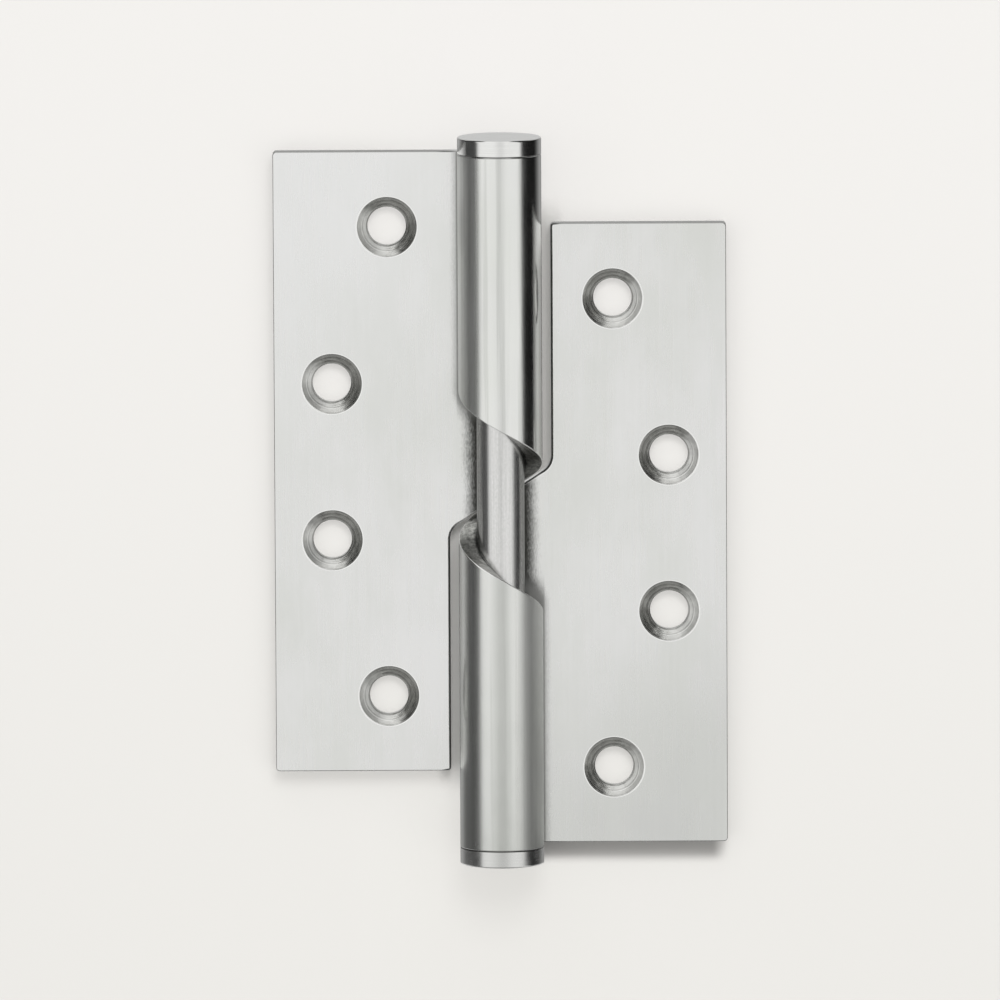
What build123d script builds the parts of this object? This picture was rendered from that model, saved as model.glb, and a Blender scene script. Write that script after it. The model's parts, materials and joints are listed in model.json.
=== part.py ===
# Rising butt hinge, opened flat. Two rolled leaves turn on one pin, and the helicoidal ends of their
# knuckles lift the door leaf as it opens.
#
# Frame: +Z runs up the pin, +X points across the frame leaf and -Y faces the viewer, who sees the
# countersinks. The origin is on the pin's axis, half way up the opened hinge, where the hinge maps
# onto itself when it is turned half a turn about Y. All sizes are in millimetres.

import os
from math import asin, degrees, pi

from build123d import *

# Leaves
leaf_height = 102.0
leaf_reach = 36.95  # pin axis to the free edge
sheet = 2.9
corner_radius = 0.6
edge_break = 0.25

# Pin and bore
pin_diameter = 7.8
pin_clearance = 0.05  # radial
pin_end_play = 0.1  # above the bottom cap's spigot
pin_tip_clearance = 1.0  # under the top cap's spigot, with the door leaf down
pin_tip_break = 0.8

# Helicoidal ends of the knuckles
lift = 11.9  # rise of the door leaf over half a turn
knuckle_gap = 0.5  # vertical play between the two helicoids
neutral_share = 0.6  # depth of the neutral fibre of the roll, from the bore, over the sheet
roll_end_gap = 0.15  # between the roll's square end and the flat sheet

# Cut-out beside the other leaf's knuckle
cutout_clearance = 1.45
cutout_corner = 3.0

# Screw holes
screw_hole_diameter = 6.3
countersink_diameter = 9.8
countersink_angle = 90.0
outer_hole_reach = 18.4  # pin axis to the top and bottom holes
inner_hole_reach = 27.5  # pin axis to the two middle holes
hole_pitch = 25.75

# Caps
cap_height = 2.8
cap_rim_radius = 0.3
spigot_length = 5.0
spigot_clearance = 0.02  # radial
spigot_tip_break = 0.4

# Worked out from the sizes above
bore_radius = pin_diameter / 2 + pin_clearance
roll_radius = bore_radius + sheet
neutral_radius = bore_radius + neutral_share * sheet
wrap_angle = 270 + degrees(asin((bore_radius - roll_end_gap) / roll_radius))
pitch = 2 * lift
cut_slope = pitch / (2 * pi * neutral_radius)
leaf_bottom = -(leaf_height + lift) / 2
leaf_top = leaf_bottom + leaf_height
middle_height = (leaf_bottom + leaf_top) / 2
knuckle_top = -knuckle_gap / 2  # where the helicoid leaves the flat sheet
cutout_reach = roll_radius + cutout_clearance
cutout_foot = knuckle_top + cut_slope * cutout_reach
pin_length = leaf_height - 2 * spigot_length - pin_end_play - pin_tip_clearance
screw_places = [
    (outer_hole_reach, middle_height + 1.5 * hole_pitch),
    (inner_hole_reach, middle_height + 0.5 * hole_pitch),
    (inner_hole_reach, middle_height - 0.5 * hole_pitch),
    (outer_hole_reach, middle_height - 1.5 * hole_pitch),
]

front_face = Plane.XZ.offset(-bore_radius)
back_face = Plane.XZ.offset(-roll_radius)

# Helicoidal cut: a radial section follows a left-handed helix up the knuckle. It starts past the
# roll's square end and stops past the flat sheet, in stretches of less than half a turn each.
cut_overrun = 6.0  # degrees
cut_margin = 0.5
cut_height = pitch + 2 * cut_margin
cut_stretches = 2
stretch_turn = (wrap_angle + 2 * cut_overrun) / cut_stretches
cut_start = 90 + wrap_angle + cut_overrun
cut_start_height = knuckle_top - pitch * (wrap_angle + cut_overrun) / 360


def cut_stretch(start_angle, start_height):
    """Sweep the radial section clockwise and upwards, over one stretch of the helix."""
    path = Rot(0, 0, start_angle) * Helix(
        pitch,
        pitch * stretch_turn / 360,
        neutral_radius,
        center=(0, 0, start_height),
        lefthand=True,
    )
    outward = Vector(1, 0, 0).rotate(Axis.Z, start_angle)
    radial_plane = Plane((0, 0, start_height), x_dir=outward, z_dir=outward.rotate(Axis.Z, -90))
    with BuildPart() as stretch:
        with BuildSketch(radial_plane):
            with Locations((bore_radius + sheet / 2, 0)):
                Rectangle(sheet + 2 * cut_margin, cut_height, align=(Align.CENTER, Align.MIN))
        sweep(path=path, is_frenet=True)
    return stretch.part


stretches = [
    cut_stretch(
        cut_start - index * stretch_turn,
        cut_start_height + index * pitch * stretch_turn / 360,
    )
    for index in range(cut_stretches)
]

# Roll of the leaf: it leaves the flat sheet at the back, passes the free side, then the front, and
# stops just short of the flat sheet again.
with BuildPart() as roll:
    with BuildSketch(Plane.XY.offset(leaf_bottom)):
        with BuildLine():
            inside = CenterArc((0, 0), bore_radius, 90, wrap_angle)
            outside = CenterArc((0, 0), roll_radius, 90, wrap_angle)
            Line(inside @ 0, outside @ 0)
            Line(inside @ 1, outside @ 1)
        make_face()
    extrude(amount=knuckle_top - leaf_bottom + cut_margin)
    add(stretches, mode=Mode.SUBTRACT)

# Frame leaf: the flat sheet, with the same slope carried across its cut-out, and the roll.
with BuildPart() as frame_leaf:
    with BuildSketch(back_face) as outline:
        with BuildLine():
            Polyline(
                (0, leaf_bottom),
                (leaf_reach, leaf_bottom),
                (leaf_reach, leaf_top),
                (cutout_reach, leaf_top),
                (cutout_reach, cutout_foot),
                (0, knuckle_top),
                close=True,
            )
        make_face()
        fillet(outline.vertices().group_by(Axis.X)[-1], corner_radius)
        foot_corner = outline.vertices().sort_by_distance((cutout_reach, roll_radius, cutout_foot))[0]
        fillet(foot_corner, cutout_corner)
    extrude(amount=sheet)
    add(roll.part)

    # The sheet's edges are broken round its ends and free side, and along its cut-out.
    ends = frame_leaf.faces().filter_by(Axis.Z).sort_by(Axis.Z)
    chamfer(ends[0].edges() + ends[-1].edges(), edge_break)
    cutout_side = frame_leaf.faces().filter_by(Axis.X).sort_by(Axis.X)[0]
    chamfer(cutout_side.edges().filter_by(Axis.Z), edge_break)

    # Screw holes, countersunk from the front.
    with Locations(front_face):
        with Locations(*screw_places):
            CounterSinkHole(
                screw_hole_diameter / 2,
                countersink_diameter / 2,
                counter_sink_angle=countersink_angle,
            )
frame_leaf.part.label = "frame_leaf"

# Door leaf: the same rolled sheet, turned over end for end.
with BuildPart() as door_leaf:
    add(frame_leaf.part, rotation=(0, 180, 0))
door_leaf.part.label = "door_leaf"

# Pin: it stands just clear of the bottom cap's spigot, and its tip stays clear of the top cap's
# spigot when the door leaf has come down.
with BuildPart() as hinge_pin:
    with BuildSketch(Plane.XY.offset(leaf_bottom + spigot_length + pin_end_play)):
        Circle(pin_diameter / 2)
    extrude(amount=pin_length)
    chamfer(hinge_pin.edges().filter_by(GeomType.CIRCLE), pin_tip_break)
hinge_pin.part.label = "hinge_pin"

# Caps: a flange as wide as the knuckle, with a spigot in the rolled bore.
with BuildPart() as bottom_cap:
    with BuildSketch(Plane.XY.offset(leaf_bottom)):
        Circle(roll_radius)
    extrude(amount=-cap_height)
    fillet(bottom_cap.edges().sort_by(Axis.Z)[0], cap_rim_radius)
    with BuildSketch(Plane.XY.offset(leaf_bottom)):
        Circle(bore_radius - spigot_clearance)
    extrude(amount=spigot_length)
    chamfer(bottom_cap.edges().sort_by(Axis.Z)[-1], spigot_tip_break)
bottom_cap.part.label = "bottom_cap"

with BuildPart() as top_cap:
    add(bottom_cap.part, rotation=(0, 180, 0))
top_cap.part.label = "top_cap"

os.makedirs("parts", exist_ok=True)
export_step(frame_leaf.part, "parts/frame_leaf.step")
export_step(door_leaf.part, "parts/door_leaf.step")
export_step(hinge_pin.part, "parts/hinge_pin.step")
export_step(bottom_cap.part, "parts/bottom_cap.step")
export_step(top_cap.part, "parts/top_cap.step")
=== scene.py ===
# Looks of the rising butt hinge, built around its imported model.
#
# Everything is in metres in the model's own frame: +Z runs up the pin, +X points across the frame
# leaf and -Y faces the viewer. The script's own sizes are in millimetres, times MM.

import json
from math import asin, atan2, cos, hypot, pi, radians, sin, sqrt, tau

import bpy
from mathutils import Matrix, Vector
from mathutils.geometry import tessellate_polygon


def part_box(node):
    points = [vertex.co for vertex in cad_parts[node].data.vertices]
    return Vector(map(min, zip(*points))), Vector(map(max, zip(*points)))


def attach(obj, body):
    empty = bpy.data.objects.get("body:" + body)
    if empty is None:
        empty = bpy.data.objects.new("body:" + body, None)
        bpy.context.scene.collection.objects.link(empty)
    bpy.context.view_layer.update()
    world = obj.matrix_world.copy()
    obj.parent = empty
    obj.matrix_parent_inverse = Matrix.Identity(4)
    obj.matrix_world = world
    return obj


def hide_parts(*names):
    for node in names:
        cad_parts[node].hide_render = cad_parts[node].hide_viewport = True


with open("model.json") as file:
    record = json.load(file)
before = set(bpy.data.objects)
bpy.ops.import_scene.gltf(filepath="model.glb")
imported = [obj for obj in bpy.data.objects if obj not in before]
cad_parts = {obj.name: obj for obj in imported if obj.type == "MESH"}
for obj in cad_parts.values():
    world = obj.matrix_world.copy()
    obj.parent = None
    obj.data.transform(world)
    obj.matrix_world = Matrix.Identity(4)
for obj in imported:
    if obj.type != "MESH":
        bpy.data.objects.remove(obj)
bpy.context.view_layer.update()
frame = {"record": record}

MM = 0.001

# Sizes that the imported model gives
frame_low, frame_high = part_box("frame_leaf")
pin_low, pin_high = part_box("hinge_pin")
bottom_cap_low, bottom_cap_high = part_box("bottom_cap")
leaf_reach = frame_high.x
leaf_bottom, leaf_top = frame_low.z, frame_high.z
roll_radius = frame_high.y
pin_radius = pin_high.x
mounts = {mount["name"]: mount for mount in frame["record"]["mounts"]}
outer_screws = mounts["frame_outer_screws"]
inner_screws = mounts["frame_inner_screws"]
outer_hole_reach = outer_screws["pos_m"][0]
inner_hole_reach = inner_screws["pos_m"][0]
hole_middle = outer_screws["pos_m"][2]
hole_pitch = inner_screws["dims"]["spacing_y_mm"] * MM
hole_radius = outer_screws["dims"]["hole_r_mm"] * MM
lift = -frame["record"]["behaviour"]["couplings"][0]["ratio"] * pi

# Sizes that repeat the part's source
sheet = 2.9 * MM
neutral_share = 0.6
knuckle_gap = 0.5 * MM
roll_end_gap = 0.15 * MM
cutout_clearance = 1.45 * MM
cutout_corner = 3.0 * MM
corner_radius = 0.6 * MM
countersink_radius = 4.9 * MM
spigot_break = 0.4 * MM
cap_rim_radius = 0.3 * MM
pin_break = 0.8 * MM

# Worked out from the sizes above
bore_radius = roll_radius - sheet
neutral_radius = bore_radius + neutral_share * sheet
wrap_angle = 1.5 * pi + asin((bore_radius - roll_end_gap) / roll_radius)
roll_length = neutral_radius * wrap_angle
cut_slope = lift / (pi * neutral_radius)
knuckle_top = -knuckle_gap / 2
cutout_reach = roll_radius + cutout_clearance
cutout_foot = knuckle_top + cut_slope * cutout_reach
screw_places = [
    (outer_hole_reach, hole_middle + 1.5 * hole_pitch),
    (inner_hole_reach, hole_middle + 0.5 * hole_pitch),
    (inner_hole_reach, hole_middle - 0.5 * hole_pitch),
    (outer_hole_reach, hole_middle - 1.5 * hole_pitch),
]

# Rounding of the edges
outer_edge = 0.15 * MM
cutout_edge = 0.42 * MM
knuckle_edge = 0.14 * MM
bore_edge = 0.03 * MM
seam_edge = 0.16 * MM
rim_edge = 0.09 * MM
lip_width = 0.15 * MM
hold = 0.03 * MM  # a ring this far from a rounding keeps the face beyond it flat
cutout_end_radius = 0.5 * MM
cutout_end_taper = 1.6 * MM  # the wide edge of the cut-out narrows to the outer edge over this
roll_end_radius = 0.3 * MM
spigot_clearance = 0.07 * MM  # wider than in the source, which keeps the spigot off the bore

# Painted dark lines on the rounded edges: how sharply they fade, and their reach as a share of the edge
outer_mark = (1.6, 1.0)
cutout_mark = (2.6, 0.72)
roll_finish_length = 3.0 * MM  # over this, the flat's finish turns into the knuckle's

# Fineness of the meshes
HOLE_STEPS = 96
ROLL_STEPS = 120
TURNED_STEPS = 128

# Kinds of surface on a leaf
SHEET_FACE, SHEARED_EDGE, COUNTERSINK = 0, 1, 2

# Colours that several finishes share
# Painted highlight, on the edges' wear and on the up-facing cut-out edge beside the pin
PAINTED_HIGHLIGHT = (0.97, 0.97, 0.96, 1)
# Painted shade, for the corners beside the pin and the knuckle
PAINTED_CORNER_DARK = (0.06, 0.06, 0.055, 1)
SEAM_DIRT = (0.05, 0.05, 0.045, 1)


class Value:
    """A number that varies over a surface. Arithmetic on it adds Math nodes to its tree."""

    def __init__(self, maker, socket):
        self.maker = maker
        self.socket = socket

    def math(self, operation, other=None, reflected=False):
        numbers = [self] if other is None else [self, other]
        if reflected:
            numbers.reverse()
        settings = {"operation": operation}
        return self.maker.value("ShaderNodeMath", settings, dict(enumerate(numbers)))

    def __add__(self, other):
        return self.math("ADD", other)

    def __radd__(self, other):
        return self.math("ADD", other, reflected=True)

    def __sub__(self, other):
        return self.math("SUBTRACT", other)

    def __rsub__(self, other):
        return self.math("SUBTRACT", other, reflected=True)

    def __mul__(self, other):
        return self.math("MULTIPLY", other)

    def __rmul__(self, other):
        return self.math("MULTIPLY", other, reflected=True)

    def __truediv__(self, other):
        return self.math("DIVIDE", other)

    def __rtruediv__(self, other):
        return self.math("DIVIDE", other, reflected=True)

    def __neg__(self):
        return self.math("MULTIPLY", -1.0)

    def __abs__(self):
        return self.math("ABSOLUTE")

    def eased(self, low, high, start=0.0, end=1.0):
        """Go smoothly from start to end while this value goes from low to high."""
        settings = {"interpolation_type": "SMOOTHSTEP"}
        numbers = {"Value": self, "From Min": low, "From Max": high, "To Min": start, "To Max": end}
        return self.maker.value("ShaderNodeMapRange", settings, numbers)


class Maker:
    """Adds nodes to one node tree, of a material, of the world or of Geometry Nodes."""

    def __init__(self, tree):
        self.tree = tree
        tree.nodes.clear()

    def feed(self, socket, what):
        """Link a value to a socket, or set the socket to a plain one."""
        if isinstance(what, Value):
            what = what.socket
        if isinstance(what, bpy.types.NodeSocket):
            self.tree.links.new(what, socket)
        else:
            socket.default_value = what

    def node(self, kind, settings=None, sockets=None):
        """Add a node: its settings come first, then what its sockets hold."""
        made = self.tree.nodes.new(kind)
        for name, setting in (settings or {}).items():
            setattr(made, name, setting)
        for name, what in (sockets or {}).items():
            self.feed(made.inputs[name], what)
        return made

    def value(self, kind, settings=None, sockets=None, output=0):
        return Value(self, self.node(kind, settings, sockets).outputs[output])

    def split(self, vector):
        made = self.node("ShaderNodeSeparateXYZ", None, {0: vector})
        return [Value(self, output) for output in made.outputs]

    def join(self, x, y, z):
        return self.value("ShaderNodeCombineXYZ", None, {0: x, 1: y, 2: z})

    def place(self):
        """The point's own place on the part, in metres."""
        return self.value("ShaderNodeTexCoord", None, None, "Object")

    def facing(self):
        """The way that the surface faces."""
        return self.value("ShaderNodeNewGeometry", None, None, "Normal")

    def attribute(self, name):
        return self.value("ShaderNodeAttribute", {"attribute_name": name}, None, "Fac")

    def noise(self, vector, per_metre, detail=2.0, roughness=0.5):
        """Noise from 0 to 1, with so many lumps to the metre along X, Y and Z."""
        settings = {"operation": "MULTIPLY"}
        scaled = self.value("ShaderNodeVectorMath", settings, {0: vector, 1: per_metre})
        sockets = {"Vector": scaled, "Scale": 1.0, "Detail": detail, "Roughness": roughness}
        return self.value("ShaderNodeTexNoise", None, sockets)

    def tint(self, share, first, second):
        """Mix two colours."""
        settings = {"data_type": "RGBA"}
        return self.value("ShaderNodeMix", settings, {0: share, 6: first, 7: second}, 2)

    def bump(self, height, depth):
        """Relief of the surface: height from 0 to 1 is so deep in metres."""
        sockets = {"Strength": 1.0, "Distance": depth, "Height": height}
        return self.value("ShaderNodeBump", None, sockets)


def hypotenuse(first, second):
    """Distance from where both values are nought."""
    return (first * first + second * second).math("SQRT")


def new_material(name):
    """Start a material, and return it with the maker of its nodes."""
    material = bpy.data.materials.new(name)
    material.use_nodes = True
    return material, Maker(material.node_tree)


def finish_metal(maker, colour, roughness, normal):
    """Close a bare metal with its shader."""
    sockets = {"Base Color": colour, "Metallic": 1.0, "Roughness": roughness, "Normal": normal}
    shader = maker.node("ShaderNodeBsdfPrincipled", None, sockets)
    maker.node("ShaderNodeOutputMaterial", None, {"Surface": shader.outputs[0]})


def make_satin_sheet():
    """Stainless sheet, brushed along the pin, cloudy on its flats and finer on its rolled knuckle."""
    material, maker = new_material("satin_sheet_brushed")
    place = maker.place()
    rolled = maker.attribute("rolled")
    worn = maker.attribute("worn")
    sheared = maker.attribute("sheared")
    round_roll = maker.attribute("round_roll")
    cloud = maker.noise(place, (45.0, 45.0, 32.0), 4.0, 0.55)
    strokes = maker.noise(place, (1500.0, 1500.0, 30.0), 3.0, 0.6)
    hairs = maker.noise(place, (9000.0, 9000.0, 400.0), 2.0, 0.6)
    patches = maker.noise(place, (160.0, 160.0, 60.0), 3.0, 0.6)
    grains = maker.noise(place, (4600.0, 4600.0, 1500.0), 4.0, 0.75)
    streaks = maker.noise(place, (800.0, 800.0, 12.0), 3.0, 0.55)
    shade = cloud * 0.5 + strokes * 0.15 + patches * 0.35
    colour = maker.tint(shade.eased(0.3, 0.7), (0.755, 0.764, 0.737, 1), (0.852, 0.85, 0.847, 1))

    # Painted shade darkens the sheet towards the frame leaf's foot and on the lower knuckle; both
    # knuckles are darker in streaks, and a painted pool of light brightens the door leaf's top corner
    x, y, z = maker.split(place)
    foot = (x * 0.5 - z).eased(20.0 * MM, 76.0 * MM) * (0.4 + patches * 1.2) * 0.38
    lower = z.eased(-8.0 * MM, 8.0 * MM, 1.0, 0.0) * rolled
    streaked = streaks.eased(0.36, 0.52, 0.27, 0.0) * (1 - lower * 0.55)
    streaked = (streaked + (patches - 0.5) * 0.4) * rolled
    shade_and_streaks = foot + lower * abs(x).eased(0.4 * MM, 2.2 * MM, 0.45, 0.1) + streaked + rolled * 0.14
    colour = maker.tint(shade_and_streaks, colour, (0.45, 0.46, 0.435, 1))
    painted_corner_light = (z - x).eased(10.0 * MM, 90.0 * MM) * (1 - rolled)
    colour = maker.tint(painted_corner_light * 0.5, colour, (0.94, 0.94, 0.945, 1))

    # Painted shade on the knuckle's free side, in the other leaf's cut-out
    in_cutout = y.eased(-3.9 * MM, -1.5 * MM) * y.eased(0.5 * MM, 4.5 * MM, 1.0, 0.0)
    height = abs(z) + (patches - 0.5) * 6.0 * MM
    in_cutout = in_cutout * height.eased(38.0 * MM, 46.0 * MM, 1.0, 0.0)
    in_cutout = in_cutout * round_roll.eased(0.45, 0.55, 1.0, 0.0) * rolled
    colour = maker.tint(in_cutout * 0.85, colour, (0.15, 0.15, 0.14, 1))

    # Painted shade in the corner beside the pin, where the sheet is also rougher, and less of it in
    # the corner beside the knuckle, where a painted dark line runs along the knuckle
    beside_knuckle = abs(z).eased(12.0 * MM, 18.0 * MM)
    corner = pin_radius + beside_knuckle * (roll_radius - pin_radius)
    width = 2.7 * MM - beside_knuckle * 1.3 * MM
    away = (abs(x) - corner) / width + (grains - 0.5) * 0.9 + (patches - 0.5) * 0.5
    painted_corner_shade = away.eased(0.0, 1.0, 1.0, 0.0) * (1 - rolled) * (1 - beside_knuckle * 0.68)
    on_front = y.eased(bore_radius + 0.05 * MM, bore_radius + 0.2 * MM, 1.0, 0.0)
    painted_corner_shade = painted_corner_shade * on_front
    colour = maker.tint(painted_corner_shade, colour, PAINTED_CORNER_DARK)
    painted_crease_shade = (abs(x) - roll_radius).eased(0.1 * MM, 0.4 * MM, 0.5, 0.0)
    painted_crease_shade = painted_crease_shade * beside_knuckle * on_front * (1 - rolled)
    colour = maker.tint(painted_crease_shade, colour, PAINTED_CORNER_DARK)

    # Edges: dirt at the caps' seams, wear with a painted highlight, and a painted dark line along the
    # rounded edges, darkest along the cut-outs
    in_seam = abs(z).eased(-leaf_bottom - 0.24 * MM, -leaf_bottom - 0.08 * MM) * rolled
    colour = maker.tint(in_seam * 0.7, colour, SEAM_DIRT)
    colour = maker.tint(worn * 0.8, colour, PAINTED_HIGHLIGHT)
    colour = maker.tint(sheared * 0.8, colour, (0.27, 0.27, 0.26, 1))
    cutout_edge_shade = x.eased(0.0, 1.0 * MM) + x.eased(-7.8 * MM, -7.0 * MM, 1.0, 0.0)
    cutout_edge_shade = cutout_edge_shade * abs(x).eased(9.0 * MM, 10.5 * MM, 1.0, 0.0)
    colour = maker.tint(sheared * cutout_edge_shade * 0.85, colour, (0.02, 0.02, 0.02, 1))

    # The roll is finer than the flat, and roughest where the sheet comes round to its end
    roughness = 0.27 - rolled * 0.12 + round_roll.eased(0.62, 0.84) * rolled * 0.36 + lower * 0.09
    roughness = roughness + (patches - 0.5) * 0.12 + (strokes - 0.5) * 0.08 - worn * 0.06
    roughness = roughness + painted_corner_shade * 0.15
    relief = hairs * (1 - rolled * 0.5)
    normal = maker.bump(relief, 0.8e-5)
    finish_metal(maker, colour, roughness, normal)
    return material


def make_sheared_edge():
    """Cut edges of the sheet and the cut ends of the knuckles: duller and mottled.

    A knuckle's end carries painted shade beside the pin, and painted light where it faces up. Edges
    of the flat sheet that face up near the pin carry a painted highlight.
    """
    material, maker = new_material("satin_sheet_cut_edge")
    place = maker.place()
    rolled = maker.attribute("rolled")
    mottle = maker.noise(place, (1600.0, 1600.0, 1600.0), 4.0, 0.7)
    scratches = maker.noise(place, (5000.0, 5000.0, 1400.0), 2.0, 0.6)
    shade = (mottle * 0.7 + scratches * 0.3).eased(0.35, 0.65)
    flat = maker.tint(shade, (0.3, 0.3, 0.29, 1), (0.5, 0.5, 0.49, 1))
    knuckle = maker.tint(shade, (0.12, 0.12, 0.11, 1), (0.5, 0.5, 0.48, 1))
    painted_upward_light = maker.tint(shade, (0.25, 0.25, 0.24, 1), (0.68, 0.68, 0.66, 1))
    _, _, upwards = maker.split(maker.facing())
    knuckle = maker.tint(upwards.eased(0.0, 0.5), knuckle, painted_upward_light)
    x, y, _ = maker.split(place)
    from_axis = hypotenuse(x, y) + (mottle - 0.5) * 0.5 * MM
    painted_pin_shade = from_axis.eased(bore_radius, bore_radius + 0.75 * MM, 0.98, 0.0)
    knuckle = maker.tint(painted_pin_shade, knuckle, (0.01, 0.01, 0.01, 1))
    # Painted highlight on the flat's up-facing edges near the pin
    glint = upwards.eased(0.4, 0.8) * abs(x).eased(5.5 * MM, 9.0 * MM, 1.0, 0.0)
    flat = maker.tint(glint, flat, PAINTED_HIGHLIGHT)
    colour = maker.tint(rolled, flat, knuckle)
    roughness = 0.36 + (mottle - 0.5) * 0.3
    normal = maker.bump(shade, 6.0e-6)
    finish_metal(maker, colour, roughness, normal)
    return material


def make_countersink():
    """Countersinks with the cutter's rings, painted lighter away from the pin and where the cone faces
    up.
    """
    material, maker = new_material("satin_sheet_countersink")
    place = maker.place()
    from_axis = maker.attribute("from_axis")
    outwards = maker.attribute("outwards")
    _, _, upwards = maker.split(maker.facing())
    drift = outwards * 0.3 * MM + upwards * 0.3 * MM
    rings = maker.noise(maker.join(from_axis, drift, 0.0), (3300.0, 900.0, 1.0), 2.0, 0.6)
    mottle = maker.noise(place, (700.0, 700.0, 700.0), 3.0, 0.6)
    shade = (rings * 0.75 + mottle * 0.25).eased(0.36, 0.64)
    dark = maker.tint(shade, (0.2, 0.2, 0.19, 1), (0.5, 0.5, 0.48, 1))
    light = maker.tint(shade, (0.6, 0.6, 0.58, 1), (0.95, 0.95, 0.93, 1))
    # Painted light: lighter away from the pin and on the cone's lower part, which faces up
    painted_light_side = (outwards + upwards * 0.4 + (mottle - 0.5) * 0.8).eased(-0.1, 0.9)
    foot = (upwards + (mottle - 0.5) * 0.3).eased(0.5, 0.66)
    colour = maker.tint(painted_light_side.math("MAXIMUM", foot), dark, light)
    roughness = 0.26 + (rings - 0.5) * 0.2 + painted_light_side * 0.14

    # On the bright side the cone leans a little towards the light
    middle_radius = (hole_radius + countersink_radius) / 2
    lean = (outwards + upwards * 0.4).eased(-0.1, 0.9) * 0.3
    relief = rings * 0.11 * MM - lean * (from_axis - middle_radius)
    normal = maker.bump(relief, 1.0)
    finish_metal(maker, colour, roughness, normal)
    return material


def make_ground_pin():
    """The pin, ground along its length, with painted shade on its sides and back, beside the sheet."""
    material, maker = new_material("ground_pin_steel")
    place = maker.place()
    strokes = maker.noise(place, (3200.0, 3200.0, 60.0), 3.0, 0.6)
    grains = maker.noise(place, (4000.0, 4000.0, 2600.0), 3.0, 0.6)
    shade = strokes * 0.6 + grains * 0.4
    colour = maker.tint(shade.eased(0.3, 0.7), (0.62, 0.62, 0.61, 1), (0.74, 0.735, 0.73, 1))
    _, y, _ = maker.split(place)
    painted_side_shade = (y + (grains - 0.5) * 1.5 * MM).eased(-2.8 * MM, -1.2 * MM, 0.0, 0.92)
    colour = maker.tint(painted_side_shade, colour, (0.07, 0.07, 0.065, 1))
    roughness = 0.24 + (strokes - 0.5) * 0.2
    normal = maker.bump(strokes, 7.0e-6)
    finish_metal(maker, colour, roughness, normal)
    return material


def make_turned_cap():
    """Turned, polished caps, ringed finely on their ends; the bottom one is rougher, with painted
    shade.
    """
    material, maker = new_material("turned_cap_polished")
    place = maker.place()
    x, y, z = maker.split(place)
    from_axis = hypotenuse(x, y)
    rings = maker.noise(maker.join(from_axis, z, 0.0), (5000.0, 5000.0, 1.0), 2.0, 0.6)
    haze = maker.noise(place, (260.0, 260.0, 260.0), 4.0, 0.6)
    shade = rings * 0.4 + haze * 0.6
    colour = maker.tint(shade.eased(0.3, 0.7), (0.74, 0.74, 0.73, 1), (0.82, 0.82, 0.81, 1))
    # Painted shade on the bottom cap, deepest where it faces front and back
    lower = z.eased(-8.0 * MM, 8.0 * MM, 1.0, 0.0)
    front = abs(x).eased(0.4 * MM, 2.4 * MM, 0.6, 0.3)
    colour = maker.tint(lower * front, colour, (0.4, 0.405, 0.39, 1))
    in_seam = (abs(z) + leaf_bottom).eased(0.08 * MM, 0.24 * MM, 0.85, 0.0)
    colour = maker.tint(in_seam, colour, SEAM_DIRT)
    roughness = 0.14 + haze.eased(0.4, 0.8, 0.0, 0.12) + (rings - 0.5) * 0.05 + lower * 0.06
    normal = maker.bump(rings, 6.0e-7)
    finish_metal(maker, colour, roughness, normal)
    return material


def turn_corner(point, before, after, radius, steps, edge, hollow=False):
    """Round a corner of the blank between two sides that face along before and after."""
    side = -1 if hollow else 1
    share = side * radius / (1 + before[0] * after[0] + before[1] * after[1])
    centre_u = point[0] - share * (before[0] + after[0])
    centre_z = point[1] - share * (before[1] + after[1])
    start = atan2(before[1], before[0])
    turn = (atan2(after[1], after[0]) - start + pi) % tau - pi
    corner = []
    for step in range(steps + 1):
        angle = start + turn * step / steps
        facing = (cos(angle), sin(angle))
        place = (centre_u + side * radius * facing[0], centre_z + side * radius * facing[1])
        corner.append((*place, *facing, edge))
    return corner


def make_outline():
    """Outline of the frame leaf's flat blank, as points with the way that they face and the edge.

    It runs along the foot from the pin's axis to the free side, up, back over the top, down the
    cut-out and along the slope; the roll's upper edge and foot follow, in as many points each.
    """
    steepness = hypot(1.0, cut_slope)
    down, right, up, left = (0.0, -1.0), (1.0, 0.0), (0.0, 1.0), (-1.0, 0.0)
    over_slope = (-cut_slope / steepness, 1 / steepness)
    flat = [(0.0, leaf_bottom, *down, outer_edge)]
    flat += turn_corner((leaf_reach, leaf_bottom), down, right, corner_radius, 8, outer_edge)
    flat += turn_corner((leaf_reach, leaf_top), right, up, corner_radius, 8, outer_edge)
    flat += [(cutout_reach + cutout_end_taper, leaf_top, *up, outer_edge)]
    flat += turn_corner((cutout_reach, leaf_top), up, left, cutout_end_radius, 6, cutout_edge)
    foot = (cutout_reach, cutout_foot)
    flat += turn_corner(foot, left, over_slope, cutout_corner, 16, cutout_edge, hollow=True)
    flat += [(0.0, knuckle_top, *over_slope, knuckle_edge)]

    end_top = (-roll_length, knuckle_top - cut_slope * roll_length)
    end_foot = (-roll_length, leaf_bottom)
    round_top = turn_corner(end_top, over_slope, left, roll_end_radius, 5, knuckle_edge)
    round_foot = turn_corner(end_foot, left, down, roll_end_radius, 5, knuckle_edge)
    upper, lower = [], []
    for step in range(1, ROLL_STEPS):
        u = round_top[0][0] * step / ROLL_STEPS
        upper.append((u, knuckle_top + cut_slope * u, *over_slope, knuckle_edge))
        u = round_foot[-1][0] * (1 - step / ROLL_STEPS)
        lower.append((u, leaf_bottom, *down, knuckle_edge))
    return flat, upper + round_top, round_foot + lower


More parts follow.
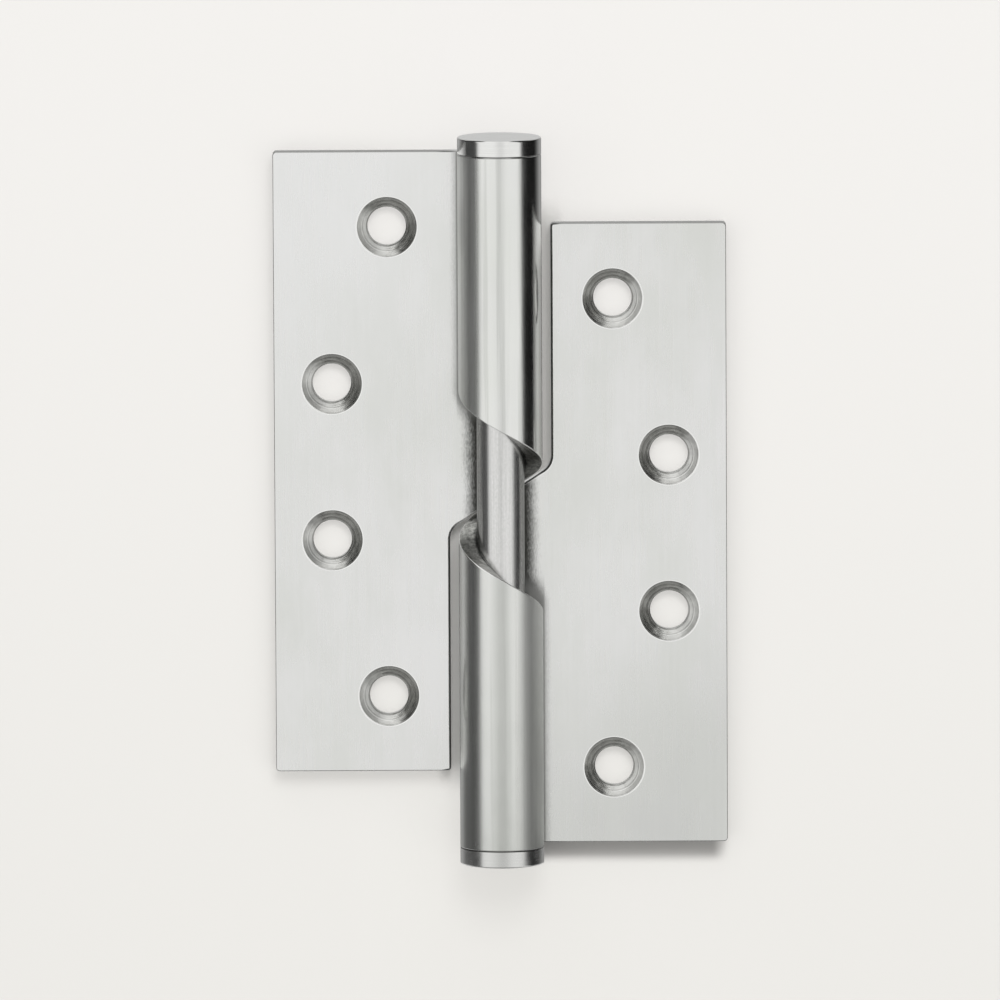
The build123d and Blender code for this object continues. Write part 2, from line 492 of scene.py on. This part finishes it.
def edge_section(front_edge, back_edge):
    """Sheet's edge section, front to back: inset from the outline, depth, and painted wear highlight.
    """
    back = [(inset, sheet - depth, wear) for inset, depth, wear in rounded_edge(back_edge)]
    return rounded_edge(front_edge) + back[::-1]


def rounded_edge(edge, steps=4):
    """Quarter of a round edge, from the face to the wall: inset, depth, and painted wear highlight."""
    section = [(edge + hold, 0.0, 0.0), (edge, 0.0, 0.0)]
    for step in range(1, steps + 1):
        angle = pi / 2 * step / steps
        wear = max(0.0, sin(2 * angle)) ** 0.5
        section.append((edge * (1 - sin(angle)), edge * (1 - cos(angle)), wear))
    return section + [(0.0, edge + hold, 0.0)]


def hole_section():
    """Section of a countersunk hole: radius, depth and painted wear highlight, from front to back."""
    cone_depth = countersink_radius - hole_radius
    slant = sqrt(0.5)
    section = [(countersink_radius + rim_edge + lip_width, 0.0, 0.0)]
    bend = round_bend((countersink_radius, 0.0), (1.0, 0.0), (-slant, slant), rim_edge)
    section += [(radius, depth, 1.0) for radius, depth, _ in bend[:4]] + bend[4:]
    section += round_bend((hole_radius, cone_depth), (slant, -slant), (0.0, 1.0), rim_edge)
    section += round_bend((hole_radius, sheet), (0.0, -1.0), (1.0, 0.0), rim_edge)
    section.append((hole_radius + rim_edge + hold, sheet, 0.0))
    return section


def round_bend(point, towards_before, towards_after, reach, steps=3):
    """Round the bend of a section at a point, from reach before it to reach after it."""
    start = Vector(point) + Vector(towards_before) * reach
    middle = Vector(point)
    end = Vector(point) + Vector(towards_after) * reach
    bend = []
    for step in range(steps + 1):
        share = step / steps
        place = start * (1 - share) ** 2 + middle * 2 * share * (1 - share) + end * share**2
        bend.append((place.x, place.y, 4 * share * (1 - share)))
    before = Vector(point) + Vector(towards_before) * (reach + hold)
    after = Vector(point) + Vector(towards_after) * (reach + hold)
    return [(before.x, before.y, 0.0), *bend, (after.x, after.y, 0.0)]


class Shell:
    """Points and faces of one mesh, with the numbers that its materials read."""

    labels = ("worn", "sheared", "rolled", "round_roll", "from_axis", "outwards")

    def __init__(self):
        self.points = []
        self.faces = []
        self.kinds = []
        self.numbers = {label: [] for label in self.labels}

    def point(self, place, **numbers):
        self.points.append(place)
        for label, kept in self.numbers.items():
            kept.append(numbers.get(label, 0.0))
        return len(self.points) - 1

    def face(self, corners, kind=SHEET_FACE):
        self.faces.append(corners)
        self.kinds.append(kind)

    def band(self, first, second, kind=SHEET_FACE):
        """Join two closed rings of as many points; the way round sets which way it faces."""
        count = len(first)
        for index in range(count):
            following = (index + 1) % count
            corners = (first[index], second[index], second[following], first[following])
            self.face(corners, kind)

    def mesh(self, name):
        made = bpy.data.meshes.new(name)
        made.from_pydata(self.points, [], self.faces)
        for label, numbers in self.numbers.items():
            made.attributes.new(label, "FLOAT", "POINT").data.foreach_set("value", numbers)
        made.attributes.new("kind", "INT", "FACE").data.foreach_set("value", self.kinds)
        made.shade_smooth()
        made.validate()
        return made


def circle(radius, steps):
    return [(radius * cos(tau * k / steps), radius * sin(tau * k / steps)) for k in range(steps)]


def edge_marks(edge, inset, wear):
    """Painted wear highlight and painted dark line of a rounded-edge point, so far in from the outline.
    """
    if edge not in (outer_edge, cutout_edge):
        return wear, 0.0
    sharpness, reach = outer_mark if edge == outer_edge else cutout_mark
    sheared = min(1.0, max(0.0, sharpness * (reach - inset / edge)))
    if edge == outer_edge:
        return 0.0, sheared
    return (1.0 if inset == edge else wear * (1 - sheared)), sheared


def make_blank():
    """The leaf's sheet before it is rolled: X is the length across it, and Y is the depth."""
    flat, upper, lower = make_outline()
    outline = flat + upper + lower
    sections = [edge_section(bore_edge if u < 0 else edge, edge) for u, _, _, _, edge in outline]
    shell = Shell()
    rings = []
    for level in range(len(sections[0])):
        ring = []
        for (u, z, facing_u, facing_z, edge), section in zip(outline, sections):
            inset, depth, wear = section[level]
            place = (u - facing_u * inset, depth, z - facing_z * inset)
            rolled = min(1.0, max(0.0, -u / roll_finish_length))
            if depth < sheet / 2:
                wear *= 1 - rolled
            wear, sheared = edge_marks(edge, inset, wear)
            share = max(0.0, -u / roll_length)
            numbers = {"worn": wear, "sheared": sheared, "rolled": rolled, "round_roll": share}
            ring.append(shell.point(place, **numbers))
        rings.append(ring)
    wall = len(rings) // 2 - 1
    for level in range(len(rings) - 1):
        kind = SHEARED_EDGE if level == wall else SHEET_FACE
        shell.band(rings[level], rings[level + 1], kind)
    holes = hole_section()
    close_face(shell, rings[0], len(flat), len(upper), 0.0, holes[0][0], True)
    close_face(shell, rings[-1], len(flat), len(upper), sheet, holes[-1][0], False)
    return shell.mesh("leaf_blank")


def close_face(shell, ring, in_flat, in_roll, depth, radius, front):
    """Fill a face of the blank: strips over the roll, and triangles round the holes over the flat."""
    above = [ring[in_flat - 1 + step] for step in range(in_roll + 1)]
    below = [ring[0]] + [ring[in_flat + 2 * in_roll - step] for step in range(1, in_roll + 1)]
    for step in range(in_roll):
        corners = (below[step + 1], below[step], above[step], above[step + 1])
        shell.face(corners if front else corners[::-1])
    loops = [ring[:in_flat]]
    for hole_u, hole_z in screw_places:
        round_hole = circle(radius, HOLE_STEPS)
        loops.append([shell.point((hole_u + x, depth, hole_z + z)) for x, z in round_hole])
    flat_loops = [[Vector((shell.points[k][0], shell.points[k][2])) for k in loop] for loop in loops]
    indices = [k for loop in loops for k in loop]
    for triangle in tessellate_polygon(flat_loops):
        corners = [indices[k] for k in triangle]
        a, b, c = (shell.points[k] for k in corners)
        anticlockwise = (b[0] - a[0]) * (c[2] - a[2]) - (b[2] - a[2]) * (c[0] - a[0]) > 0
        shell.face(corners if anticlockwise == front else corners[::-1])


def make_hole():
    """Wall of one countersunk hole, round its own axis, with the sheet's rim and its painted wear
    highlight.
    """
    rim_bands = 3
    shell = Shell()
    rings = []
    for radius, depth, wear in hole_section():
        ring = [
            shell.point((x, depth, z), worn=wear, from_axis=radius, outwards=x / radius)
            for x, z in circle(radius, HOLE_STEPS)
        ]
        rings.append(ring)
    for level in range(len(rings) - 1):
        kind = SHEET_FACE if level < rim_bands else COUNTERSINK
        shell.band(rings[level + 1], rings[level], kind)
    return shell.mesh("countersunk_hole")


def make_rolling_tree():
    """Geometry Nodes that set the screw holes in a blank, roll its knuckle and turn it over."""
    tree = bpy.data.node_groups.new("roll_the_leaf", "GeometryNodeTree")
    maker = Maker(tree)
    for name, kind, default in (
        ("Blank", "Geometry", None),
        ("Screw hole", "Object", None),
        ("Outer reach", "Float", outer_hole_reach),
        ("Inner reach", "Float", inner_hole_reach),
        ("Middle height", "Float", hole_middle),
        ("Hole pitch", "Float", hole_pitch),
        ("Bore radius", "Float", bore_radius),
        ("Neutral radius", "Float", neutral_radius),
        ("Turn over", "Float", 0.0),
        ("Sheet", "Material", None),
        ("Cut edge", "Material", None),
        ("Countersink", "Material", None),
    ):
        kind = "NodeSocket" + kind
        socket = tree.interface.new_socket(name=name, in_out="INPUT", socket_type=kind)
        if default is not None:
            socket.default_value = default
    tree.interface.new_socket(name="Leaf", in_out="OUTPUT", socket_type="NodeSocketGeometry")
    given = maker.node("NodeGroupInput").outputs

    def size(name):
        return Value(maker, given[name])

    # Four screw holes: the first and last stand nearer the pin than the two between them
    index = maker.value("GeometryNodeInputIndex")
    from_middle = 1.5 - index
    outer = abs(from_middle).math("GREATER_THAN", 1.0)
    hole_x = size("Inner reach") + outer * (size("Outer reach") - size("Inner reach"))
    hole_z = size("Middle height") + from_middle * size("Hole pitch")
    points = maker.node("GeometryNodePoints", None, {"Count": 4})
    sockets = {"Geometry": points.outputs[0], "Position": maker.join(hole_x, 0.0, hole_z)}
    spread = maker.node("GeometryNodeSetPosition", None, sockets)
    hole = maker.node("GeometryNodeObjectInfo", None, {"Object": given["Screw hole"]})
    sockets = {"Points": spread.outputs[0], "Instance": hole.outputs["Geometry"]}
    holes = maker.node("GeometryNodeInstanceOnPoints", None, sockets)
    joined = maker.node("GeometryNodeJoinGeometry", None, {0: holes.outputs[0]})
    maker.feed(joined.inputs[0], given["Blank"])
    real = maker.node("GeometryNodeRealizeInstances", None, {0: joined.outputs[0]})
    sockets = {"Geometry": real.outputs[0], "Distance": 1.0e-6}
    merged = maker.node("GeometryNodeMergeByDistance", None, sockets)

    # Roll: what lies beyond the pin's axis goes round it, at the neutral fibre's own length
    across, depth, height = maker.split(maker.value("GeometryNodeInputPosition"))
    beyond = across.math("MINIMUM", 0.0)
    angle = -beyond / size("Neutral radius")
    radius = depth + size("Bore radius")
    rolled_x = (across - beyond) - radius * angle.math("SINE")
    rolled_y = radius * angle.math("COSINE")
    sockets = {"Geometry": merged.outputs[0], "Position": maker.join(rolled_x, rolled_y, height)}
    rolled = maker.node("GeometryNodeSetPosition", None, sockets)
    rotation = maker.join(0.0, size("Turn over"), 0.0)
    sockets = {"Geometry": rolled.outputs[0], "Rotation": rotation}
    shaped = maker.node("GeometryNodeTransform", None, sockets)

    for kind, name in ((SHEET_FACE, "Sheet"), (SHEARED_EDGE, "Cut edge"), (COUNTERSINK, "Countersink")):
        settings = {"data_type": "INT"}
        stored = maker.node("GeometryNodeInputNamedAttribute", settings, {"Name": "kind"})
        settings = {"data_type": "INT", "operation": "EQUAL"}
        chosen = maker.node("FunctionNodeCompare", settings, {2: stored.outputs[0], 3: kind})
        sockets = {
            "Geometry": shaped.outputs[0],
            "Selection": chosen.outputs[0],
            "Material": given[name],
        }
        shaped = maker.node("GeometryNodeSetMaterial", None, sockets)
    maker.node("NodeGroupOutput", None, {0: shaped.outputs[0]})
    return tree


def roll_leaf(name, tree, blank, hole, turn_over, materials):
    """Run the tree on a copy of the blank, and keep what it makes as a plain mesh."""
    rough = bpy.data.objects.new(name + "_rough", blank.copy())
    bpy.context.scene.collection.objects.link(rough)
    modifier = rough.modifiers.new("Roll", "NODES")
    modifier.node_group = tree
    given = {"Screw hole": hole, "Turn over": turn_over, **materials}
    for item in tree.interface.items_tree:
        if item.in_out == "INPUT" and item.name in given:
            modifier[item.identifier] = given[item.name]
    bpy.context.view_layer.update()
    evaluated = rough.evaluated_get(bpy.context.evaluated_depsgraph_get())
    mesh = bpy.data.meshes.new_from_object(evaluated)
    mesh.name = name
    bpy.data.objects.remove(rough)
    return add_piece(name, mesh)


def add_piece(name, mesh):
    piece = bpy.data.objects.new(name, mesh)
    bpy.context.scene.collection.objects.link(piece)
    return piece


def turn_piece(name, profile, material):
    """Turn a profile round the pin's axis; it starts and ends on the axis."""
    shell = Shell()
    first = shell.point((0.0, 0.0, profile[0][1]))
    rings = []
    for radius, height, wear in profile[1:-1]:
        round_piece = circle(radius, TURNED_STEPS)
        rings.append([shell.point((x, y, height), worn=wear) for x, y in round_piece])
    last = shell.point((0.0, 0.0, profile[-1][1]))
    for index in range(TURNED_STEPS):
        following = (index + 1) % TURNED_STEPS
        shell.face((first, rings[0][following], rings[0][index]))
        shell.face((last, rings[-1][index], rings[-1][following]))
    for lower, upper in zip(rings, rings[1:]):
        shell.band(upper, lower)
    mesh = shell.mesh(name)
    mesh.materials.append(material)
    return add_piece(name, mesh)


def cap_profile():
    """Profile of the bottom cap, from its flat end up to the tip of its spigot."""
    outside, inside = bottom_cap_low.z, bottom_cap_high.z
    spigot = bore_radius - spigot_clearance
    left, right, up, down = (-1.0, 0.0), (1.0, 0.0), (0.0, 1.0), (0.0, -1.0)
    profile = [(0.0, outside, 0.0)]
    profile += round_bend((roll_radius, outside), left, up, cap_rim_radius, 8)
    profile += round_bend((roll_radius, leaf_bottom), down, left, seam_edge)
    profile += [(spigot + hold, leaf_bottom, 0.0), (spigot, leaf_bottom, 0.0)]
    profile += round_bend((spigot, inside), down, left, spigot_break, 4)
    return profile + [(0.0, inside, 0.0)]


def pin_profile():
    """Profile of the pin, from its lower end to its tip."""
    left, up, down = (-1.0, 0.0), (0.0, 1.0), (0.0, -1.0)
    profile = [(0.0, pin_low.z, 0.0)]
    profile += round_bend((pin_radius, pin_low.z), left, up, pin_break, 5)
    profile += round_bend((pin_radius, pin_high.z), down, left, pin_break, 5)
    return profile + [(0.0, pin_high.z, 0.0)]


# Leaves
satin_sheet = make_satin_sheet()
leaf_materials = {
    "Sheet": satin_sheet,
    "Cut edge": make_sheared_edge(),
    "Countersink": make_countersink(),
}
rolling_tree = make_rolling_tree()
leaf_blank = make_blank()
screw_hole = add_piece("screw_hole_rough", make_hole())
frame_leaf = roll_leaf(
    "frame_leaf_rolled", rolling_tree, leaf_blank, screw_hole, 0.0, leaf_materials
)
door_leaf = roll_leaf("door_leaf_rolled", rolling_tree, leaf_blank, screw_hole, pi, leaf_materials)
bpy.data.objects.remove(screw_hole)

# Pin and caps
turned_cap = make_turned_cap()
pin = turn_piece("pin_rod", pin_profile(), make_ground_pin())
bottom_cap = turn_piece("bottom_cap_turned", cap_profile(), turned_cap)
top_cap = turn_piece("top_cap_turned", cap_profile(), turned_cap)
top_cap.data.transform(Matrix.Rotation(pi, 4, "Y"))

for piece, body, node, slot in (
    (frame_leaf, "frame_side", "frame_leaf", "satin_sheet"),
    (door_leaf, "door_side", "door_leaf", "satin_sheet"),
    (pin, "pin", "hinge_pin", "ground_pin"),
    (bottom_cap, "frame_side", "bottom_cap", "turned_cap"),
    (top_cap, "door_side", "top_cap", "turned_cap"),
):
    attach(piece, body)
    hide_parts(node)


def make_backing():
    """The pale surface that the hinge lies on. It is seen from the front only, and fades outwards."""
    gap = 0.6 * MM  # behind the leaves
    half = 0.4
    depth = roll_radius + gap
    mesh = bpy.data.meshes.new("backing")
    corners = [(-half, depth, -half), (half, depth, -half), (half, depth, half), (-half, depth, half)]
    mesh.from_pydata(corners, [], [(0, 1, 2, 3)])
    material, maker = new_material("backing_pale")
    x, _, z = maker.split(maker.place())
    fade = hypotenuse(x, z).eased(0.13, 0.38, 1.0, 0.0)

    # Rays from behind, and the short ones that leave the backs of the leaves, pass through it
    light_path = maker.node("ShaderNodeLightPath")
    length = Value(maker, light_path.outputs["Ray Length"])
    far = length.math("GREATER_THAN", gap + 1.0 * MM)
    behind = maker.value("ShaderNodeNewGeometry", None, None, "Backfacing")

    # The camera sees it half clear, which softens the shadows on it, but solid in the cut-outs and in
    # the painted shadow under the frame leaf's foot
    beyond_cutout = abs(z).eased(44.0 * MM, 50.0 * MM)
    in_cutout = abs(x).eased(9.0 * MM, 11.0 * MM, 1.0, 0.0) * (1 - beyond_cutout)
    clear_share = 0.45 + abs(x).eased(8.0 * MM, 24.0 * MM, 0.22, 0.0) * beyond_cutout
    camera_ray = Value(maker, light_path.outputs["Is Camera Ray"])
    below_foot = z.eased(leaf_bottom - 4.6 * MM, leaf_bottom - 2.2 * MM)
    below_foot = below_foot * z.eased(leaf_bottom + 4.0 * MM, leaf_bottom + 9.0 * MM, 1.0, 0.0)
    painted_foot_shadow = below_foot * x.eased(5.0 * MM, 7.0 * MM) * (leaf_reach - x).eased(-0.4 * MM, 2.6 * MM)
    seen = 1 - camera_ray * (1 - in_cutout) * (1 - painted_foot_shadow) * clear_share
    shown = fade * far * (1 - behind) * seen
    # A painted shadow: the backing's colour is darker under the frame leaf's foot
    colour = maker.tint(painted_foot_shadow, (0.885, 0.871, 0.846, 1), (0.5, 0.49, 0.475, 1))
    diffuse = maker.node("ShaderNodeBsdfDiffuse", None, {"Color": colour})
    clear = maker.node("ShaderNodeBsdfTransparent")
    sockets = {0: shown, 1: clear.outputs[0], 2: diffuse.outputs[0]}
    mixed = maker.node("ShaderNodeMixShader", None, sockets)
    maker.node("ShaderNodeOutputMaterial", None, {"Surface": mixed.outputs[0]})
    mesh.materials.append(material)
    backing = add_piece("backing", mesh)
    backing.visible_glossy = False


def make_world():
    """A light tent: bright in front and narrow above, dark at its sides, dimmer below and behind.

    The camera sees a plain pale backdrop instead. X, Y and Z say the way that a ray goes.
    """
    world = bpy.data.worlds.new("light_tent")
    world.use_nodes = True
    bpy.context.scene.world = world
    maker = Maker(world.node_tree)
    towards = maker.value("ShaderNodeTexCoord", None, None, "Generated")
    x, y, z = maker.split(towards)
    behind = y.eased(-0.1, 0.4)

    # The lit part is narrower above and leans a little; its middle is slightly dimmer
    width = z.eased(0.0, 1.0, 0.877, 0.38) * (1 - behind * 0.55)
    lean = z.eased(-0.26, 0.0, 0.08, -0.05) * (1 - behind)
    lit = abs(x - lean).eased(width - 0.04, width + 0.04, 1.0, 0.0)
    middle = abs(x - 0.05).eased(0.02, 0.32, 0.84, 1.0)
    level = z.eased(-0.95, -0.25, 0.2, 1.0) * z.eased(0.4, 1.0, 1.0, 1.1) * middle

    # Outside the lit part, a little light comes from the lower left and from behind
    from_below = z.eased(-0.3, -0.17, 0.45, 0.0)
    from_left = x.eased(-0.5, 0.0, 1.0, 0.0) * z.eased(-0.24, -0.02, 0.15, 0.0)
    side = 0.008 + from_left + y.eased(0.35, 1.05, 0.0, 0.45)
    side = side + (from_below + z.eased(0.2, 0.45, 0.0, 0.5)) * behind
    back_level = 0.3 + z.eased(-0.08, 0.08, 0.0, 0.34) + from_below
    level = level * (1 - behind) + behind * back_level
    strength = side + lit * (level - side)

    # The backdrop is a shade darker towards the foot of the picture
    camera_ray = maker.value("ShaderNodeLightPath", None, None, "Is Camera Ray")
    backdrop = maker.tint(z.eased(-0.155, -0.1), (0.85, 0.835, 0.80, 1), (0.905, 0.885, 0.868, 1))
    colour = maker.tint(camera_ray, (1.0, 1.0, 0.99, 1), backdrop)
    strength = strength * (1 - camera_ray) + camera_ray
    background = maker.node("ShaderNodeBackground", None, {"Color": colour, "Strength": strength})
    maker.node("ShaderNodeOutputWorld", None, {"Surface": background.outputs[0]})


def make_key():
    """One large soft lamp in front of the hinge and above it."""
    lamp = bpy.data.lights.new("key", "AREA")
    lamp.shape = "SQUARE"
    lamp.size = 0.42
    lamp.energy = 3.6
    key = bpy.data.objects.new("key", lamp)
    key.location = (0.08, -0.85, 0.58)
    key.rotation_mode = "QUATERNION"
    key.rotation_quaternion = (-key.location).to_track_quat("-Z", "Y")
    key.visible_camera = False
    key.visible_glossy = False
    bpy.context.scene.collection.objects.link(key)


def make_camera():
    """The photograph's camera, a little above the hinge and turned by a hair."""
    distance = 3.0
    elevation = radians(7.4)
    roll = radians(-0.27)
    data = bpy.data.cameras.new("camera")
    data.sensor_width = 36.0
    data.lens = 661.6
    data.shift_x = -0.0007
    data.shift_y = 0.0006
    data.clip_start = 0.05
    data.clip_end = 20.0
    back = Vector((0.0, -cos(elevation), sin(elevation)))
    level_right = Vector((1.0, 0.0, 0.0))
    level_up = back.cross(level_right)
    right = level_right * cos(roll) + level_up * sin(roll)
    up = back.cross(right)
    camera = bpy.data.objects.new("camera", data)
    turn = Matrix((right, up, back)).transposed().to_4x4()
    camera.matrix_world = Matrix.Translation(back * distance) @ turn
    bpy.context.scene.collection.objects.link(camera)
    bpy.context.scene.camera = camera


make_backing()
make_world()
make_key()
make_camera()
bpy.context.scene.view_settings.view_transform = "Standard"
